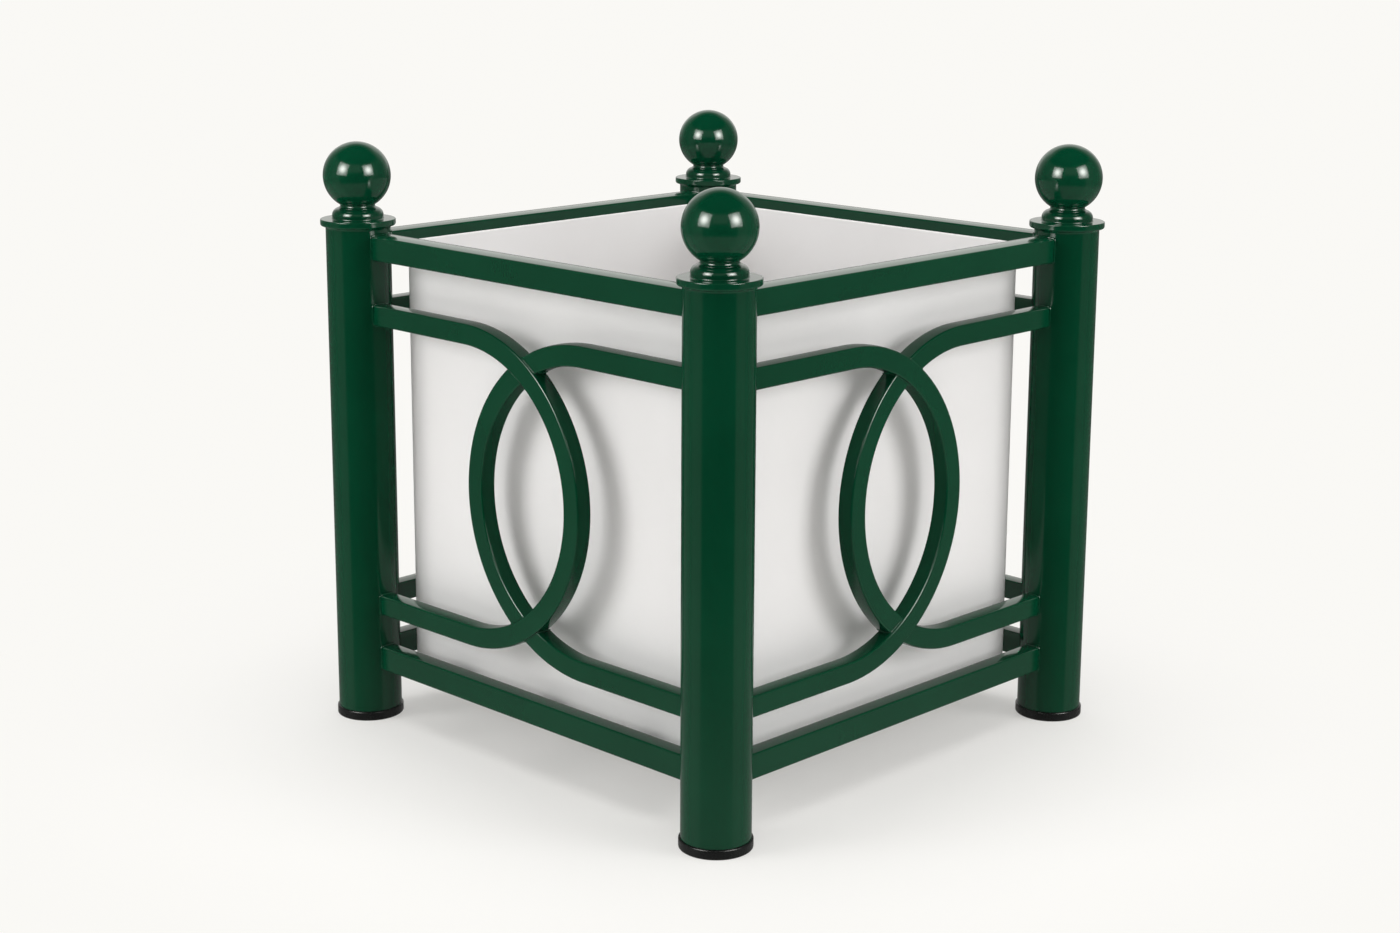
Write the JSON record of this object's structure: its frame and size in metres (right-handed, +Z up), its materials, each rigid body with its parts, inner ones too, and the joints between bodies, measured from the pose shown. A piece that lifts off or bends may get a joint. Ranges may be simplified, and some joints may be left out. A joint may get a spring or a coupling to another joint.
{
  "type": "versailles planter",
  "caption": "Square metal-framed floor planter with round posts, ball finials, scroll side panels and a lift-out liner box.",
  "frame": {"origin": "on the floor, under the middle of the square frame", "axes": "+Z up; the front side faces -Y and the right side faces +X, and all four sides are alike"},
  "size_m": [0.678, 0.678, 0.699],
  "materials": {
    "green_paint": "gloss",
    "black_plastic": "satin",
    "white_liner": "satin"
  },
  "bodies": {
    "frame": {"foot_cap_front_left": "black_plastic", "post_front_left": "green_paint", "post_cap_front_left": "green_paint", "ball_finial_front_left": "green_paint", "foot_cap_front_right": "black_plastic", "post_front_right": "green_paint", "post_cap_front_right": "green_paint", "ball_finial_front_right": "green_paint", "foot_cap_back_right": "black_plastic", "post_back_right": "green_paint", "post_cap_back_right": "green_paint", "ball_finial_back_right": "green_paint", "foot_cap_back_left": "black_plastic", "post_back_left": "green_paint", "post_cap_back_left": "green_paint", "ball_finial_back_left": "green_paint", "top_rail_front": "green_paint", "bottom_rail_front": "green_paint", "scroll_front": "green_paint", "counter_scroll_upper_front": "green_paint", "counter_scroll_middle_front": "green_paint", "counter_scroll_lower_front": "green_paint", "top_rail_right": "green_paint", "bottom_rail_right": "green_paint", "scroll_right": "green_paint", "counter_scroll_upper_right": "green_paint", "counter_scroll_middle_right": "green_paint", "counter_scroll_lower_right": "green_paint", "top_rail_back": "green_paint", "bottom_rail_back": "green_paint", "scroll_back": "green_paint", "counter_scroll_upper_back": "green_paint", "counter_scroll_middle_back": "green_paint", "counter_scroll_lower_back": "green_paint", "top_rail_left": "green_paint", "bottom_rail_left": "green_paint", "scroll_left": "green_paint", "counter_scroll_upper_left": "green_paint", "counter_scroll_middle_left": "green_paint", "counter_scroll_lower_left": "green_paint", "liner_bearer_1": "green_paint", "liner_bearer_2": "green_paint", "liner_bearer_3": "green_paint"},
    "liner": {"liner": "white_liner"}
  },
  "joints": [
    {"name": "liner_lift", "type": "slide", "parent": "frame", "child": "liner", "axis": [0, 0, 1], "range_m": [0, 0.63]}
  ]
}
